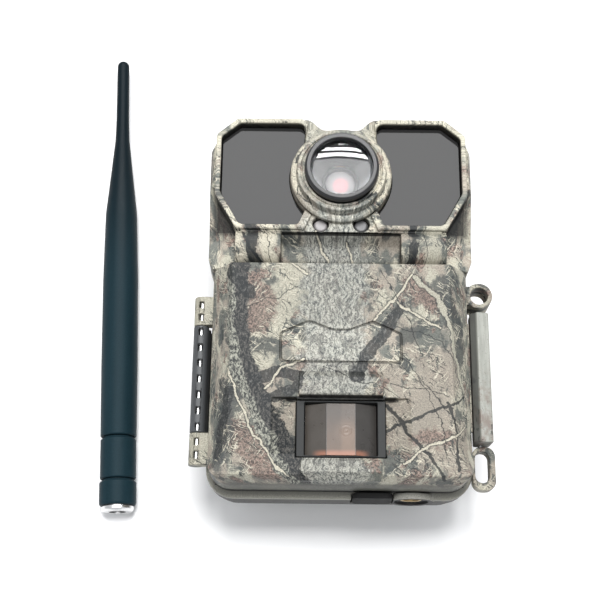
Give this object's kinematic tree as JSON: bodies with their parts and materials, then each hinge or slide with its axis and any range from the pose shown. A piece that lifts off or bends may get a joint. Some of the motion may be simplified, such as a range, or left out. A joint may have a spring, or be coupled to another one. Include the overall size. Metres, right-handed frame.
{
  "type": "trail camera",
  "caption": "Weatherproof wildlife camera with a hinged front door, side latch, infrared windows, motion sensor window and a detachable whip antenna lying beside it.",
  "frame": {"origin": "middle of the tree bracket's flat back face, which the camera lies on", "axes": "+X across the camera towards its latch, +Y towards its head, +Z out of its front along the lens"},
  "size_m": [0.1596, 0.2058, 0.077],
  "materials": {
    "camouflage": "moulded plastic with a woodland camouflage film, fine matt texture",
    "olive": "grey-green moulded plastic, matt",
    "black_plastic": "black moulded plastic, satin",
    "ir_window": "dark infrared-pass acrylic, polished",
    "clear_glass": "clear, polished",
    "fresnel": "translucent grey-brown polyethylene Fresnel lens",
    "rubber": "black rubber, matt",
    "antenna_rubber": "dark teal-black moulded rubber, satin",
    "steel": "nickel-plated, bright",
    "brass": "machined brass",
    "circuit_board": "green solder mask",
    "grey_plastic": "grey moulded plastic, matt",
    "screen": "dark display glass"
  },
  "bodies": {
    "case": {"rear_housing": "camouflage", "head_cover": "camouflage", "lens_surround": "camouflage", "padlock_lug": "camouflage", "cable_lug": "camouflage", "lens_bezel": "black_plastic", "lens_barrel": "black_plastic", "hinge_barrel": "black_plastic", "deck_plate": "black_plastic", "battery_tray": "black_plastic", "dc_socket": "black_plastic", "tree_bracket": "black_plastic", "speaker": "black_plastic", "ir_window_left": "ir_window", "ir_window_right": "ir_window", "lens_cover": "clear_glass", "lens_element": "clear_glass", "status_led_cap": "clear_glass", "light_sensor_cap": "clear_glass", "window_gasket_left": "rubber", "window_gasket_right": "rubber", "door_gasket": "rubber", "hinge_pin": "steel", "latch_pin": "steel", "case_screw_1": "steel", "case_screw_2": "steel", "case_screw_3": "steel", "case_screw_4": "steel", "antenna_jack_nut": "steel", "contact_strip_foot": "steel", "contact_strip_head": "steel", "sd_socket": "steel", "usb_socket": "steel", "pir_sensor": "steel", "tripod_insert": "brass", "antenna_jack": "brass", "ir_led_board_left": "circuit_board", "ir_led_board_right": "circuit_board", "image_sensor_board": "circuit_board", "main_board": "circuit_board", "lens_cone": "grey_plastic", "lcd_screen": "screen"},
    "door": {"front_door": "camouflage", "pir_window": "fresnel", "pir_frame": "black_plastic"},
    "latch": {"latch_lever": "olive"},
    "plug": {"port_plug": "rubber"},
    "memory_card": {"sd_card": "black_plastic"},
    "switch": {"power_switch": "grey_plastic"},
    "antenna": {"antenna_whip": "antenna_rubber", "antenna_base": "antenna_rubber", "antenna_connector": "steel"},
    "collar": {"antenna_collar": "antenna_rubber"},
    "button_menu": {"key_menu": "grey_plastic"},
    "button_ok": {"key_ok": "grey_plastic"},
    "button_up": {"key_up": "grey_plastic"},
    "button_down": {"key_down": "grey_plastic"},
    "button_left": {"key_left": "grey_plastic"},
    "button_right": {"key_right": "grey_plastic"}
  },
  "joints": [
    {"name": "door_hinge", "type": "hinge", "parent": "case", "child": "door", "pos_m": [-0.053, -0.029, 0.05], "axis": [0, -1, 0], "range_deg": [0, 115]},
    {"name": "latch_pivot", "type": "hinge", "parent": "case", "child": "latch", "pos_m": [0.0532, -0.027, 0.0448], "axis": [0, 1, 0], "range_deg": [0, 80]},
    {"name": "port_plug_pull", "type": "slide", "parent": "case", "child": "plug", "axis": [0, -1, 0], "range_m": [0, 0.01]},
    {"name": "memory_card_slide", "type": "slide", "parent": "case", "child": "memory_card", "axis": [0, 0, 1], "range_m": [0, 0.006]},
    {"name": "mode_switch_slide", "type": "slide", "parent": "case", "child": "switch", "axis": [1, 0, 0], "range_m": [0, 0.008]},
    {"name": "antenna_place", "type": "slide", "parent": "case", "child": "antenna", "axis": [-1, 0, 0], "range_m": [0, 0.06]},
    {"name": "collar_spin", "type": "hinge", "parent": "antenna", "child": "collar", "pos_m": [-0.0876, -0.073, 0.0075], "axis": [-0.0494, 0.9988, 0], "continuous": true},
    {"name": "press_menu", "type": "slide", "parent": "case", "child": "button_menu", "axis": [0, 0, -1], "range_m": [0, 0.0006], "stiffness_N_per_m": 1000},
    {"name": "press_ok", "type": "slide", "parent": "case", "child": "button_ok", "axis": [0, 0, -1], "range_m": [0, 0.0006], "stiffness_N_per_m": 1000},
    {"name": "press_up", "type": "slide", "parent": "case", "child": "button_up", "axis": [0, 0, -1], "range_m": [0, 0.0006], "stiffness_N_per_m": 1000},
    {"name": "press_down", "type": "slide", "parent": "case", "child": "button_down", "axis": [0, 0, -1], "range_m": [0, 0.0006], "stiffness_N_per_m": 1000},
    {"name": "press_left", "type": "slide", "parent": "case", "child": "button_left", "axis": [0, 0, -1], "range_m": [0, 0.0006], "stiffness_N_per_m": 1000},
    {"name": "press_right", "type": "slide", "parent": "case", "child": "button_right", "axis": [0, 0, -1], "range_m": [0, 0.0006], "stiffness_N_per_m": 1000}
  ]
}
